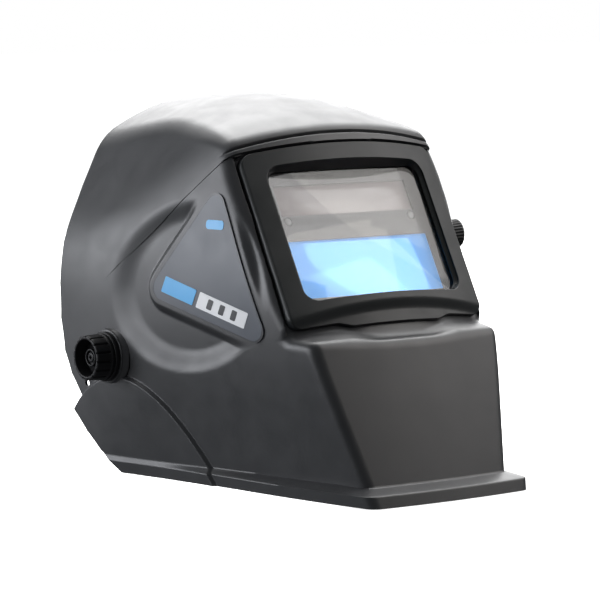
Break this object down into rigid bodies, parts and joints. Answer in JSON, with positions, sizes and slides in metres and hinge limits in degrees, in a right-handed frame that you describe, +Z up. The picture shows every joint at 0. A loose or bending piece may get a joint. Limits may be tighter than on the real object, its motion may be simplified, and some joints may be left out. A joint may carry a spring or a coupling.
{
  "type": "welding helmet",
  "caption": "Auto-darkening welding helmet: moulded shell, clip-on front frame with a flat viewing window, filter cartridge, side knobs and ratchet headgear.",
  "frame": {"origin": "centre of the whole object's bounding box on the plane the chin flange rests on", "axes": "+Z up, -Y towards the viewing window, +X towards the wearer's left"},
  "size_m": [0.275, 0.3702, 0.267],
  "materials": {
    "shell_nylon": "satin moulded nylon, fine grain",
    "black_abs": "satin black moulded plastic",
    "knob_nylon": "matt black moulded plastic",
    "clear_polycarbonate": "clear polished polycarbonate sheet",
    "cartridge_abs": "dark grey moulded plastic",
    "solar_glass": "brown thin-film solar cell with fine lines",
    "filter_glass": "blue interference coating on glass",
    "lcd_glass": "dark liquid crystal glass stack",
    "sensor_lens": "black sensor lens",
    "circuit_board": "solder-resist green",
    "steel": "zinc-plated steel",
    "plated_brass": "nickel-plated brass",
    "cable_pvc": "black PVC sleeve",
    "label_film": "printed film label",
    "headgear_nylon": "black flexible nylon strap",
    "pad_foam": "black fabric over foam"
  },
  "bodies": {
    "helmet": {"shell": "shell_nylon", "cartridge_holder": "cartridge_abs", "filter_case_front": "cartridge_abs", "filter_case_back": "cartridge_abs", "solar_cell": "solar_glass", "uv_ir_filter": "filter_glass", "lcd_panel": "lcd_glass", "arc_sensor_left": "sensor_lens", "arc_sensor_right": "sensor_lens", "circuit_board": "circuit_board", "battery_cell_left": "steel", "battery_cell_right": "steel", "inner_cover_lens": "clear_polycarbonate", "spring_clip": "steel", "shade_potentiometer": "plated_brass", "shade_nut": "plated_brass", "shade_cable": "cable_pvc", "side_label": "label_film", "knob_washer_left": "knob_nylon", "knob_washer_right": "knob_nylon"},
    "front_frame": {"front_frame": "black_abs", "cover_lens": "clear_polycarbonate"},
    "headgear": {"headband": "headgear_nylon", "side_arm_left": "headgear_nylon", "side_arm_right": "headgear_nylon", "crown_strap_left": "headgear_nylon", "crown_strap_right": "headgear_nylon", "crown_pin": "headgear_nylon", "sweatband": "pad_foam", "stop_plate_left": "black_abs", "stop_plate_right": "black_abs", "pivot_bolt_left": "steel", "pivot_bolt_right": "steel"},
    "tension_knob_left": {"tension_knob_left": "knob_nylon"},
    "tension_knob_right": {"tension_knob_right": "knob_nylon"},
    "rear_band": {"rear_band": "headgear_nylon", "ratchet_housing": "headgear_nylon", "nape_pad": "pad_foam"},
    "ratchet_knob": {"ratchet_knob": "knob_nylon"},
    "shade_knob": {"shade_knob": "knob_nylon"},
    "sensitivity_dial": {"sensitivity_dial": "knob_nylon"},
    "delay_dial": {"delay_dial": "knob_nylon"},
    "battery_cap_left": {"battery_cap_left": "cartridge_abs"},
    "battery_cap_right": {"battery_cap_right": "cartridge_abs"}
  },
  "joints": [
    {"name": "headgear_tilt", "type": "hinge", "parent": "helmet", "child": "headgear", "pos_m": [0, 0.05621, 0.083], "axis": [1, 0, 0], "range_deg": [-8, 50]},
    {"name": "front_frame_tip", "type": "hinge", "parent": "helmet", "child": "front_frame", "pos_m": [0, -0.0619, 0.23615], "axis": [-1, 0, 0], "range_deg": [0, 25]},
    {"name": "tension_knob_left_turn", "type": "hinge", "parent": "headgear", "child": "tension_knob_left", "pos_m": [0.1195, 0.05621, 0.083], "axis": [1, 0, 0], "range_deg": [-180, 180]},
    {"name": "tension_knob_right_turn", "type": "hinge", "parent": "headgear", "child": "tension_knob_right", "pos_m": [-0.1195, 0.05621, 0.083], "axis": [-1, 0, 0], "range_deg": [-180, 180]},
    {"name": "rear_band_slide", "type": "slide", "parent": "headgear", "child": "rear_band", "axis": [0, 0.9272, -0.3746], "range_m": [-0.015, 0.006]},
    {"name": "ratchet_knob_turn", "type": "hinge", "parent": "rear_band", "child": "ratchet_knob", "pos_m": [0, 0.15707, 0.08129], "axis": [0, 0.9272, -0.3746], "range_deg": [-217, 88]},
    {"name": "shade_knob_turn", "type": "hinge", "parent": "helmet", "child": "shade_knob", "pos_m": [0.09748, -0.05279, 0.165], "axis": [0.9772, -0.1954, 0.0831], "range_deg": [-135, 135]},
    {"name": "sensitivity_dial_turn", "type": "hinge", "parent": "helmet", "child": "sensitivity_dial", "pos_m": [0.016, -0.05122, 0.19559], "axis": [0, 0.8763, -0.4818], "range_deg": [-135, 135]},
    {"name": "delay_dial_turn", "type": "hinge", "parent": "helmet", "child": "delay_dial", "pos_m": [-0.016, -0.05122, 0.19559], "axis": [0, 0.8763, -0.4818], "range_deg": [-135, 135]},
    {"name": "battery_cap_left_turn", "type": "hinge", "parent": "helmet", "child": "battery_cap_left", "pos_m": [0.048, -0.05122, 0.19559], "axis": [0, 0.8763, -0.4818], "range_deg": [-60, 0]},
    {"name": "battery_cap_right_turn", "type": "hinge", "parent": "helmet", "child": "battery_cap_right", "pos_m": [-0.048, -0.05122, 0.19559], "axis": [0, 0.8763, -0.4818], "range_deg": [-60, 0]}
  ],
  "couplings": [
    {"joint": "ratchet_knob_turn", "follows": "rear_band_slide", "rad_per_m": 250}
  ]
}
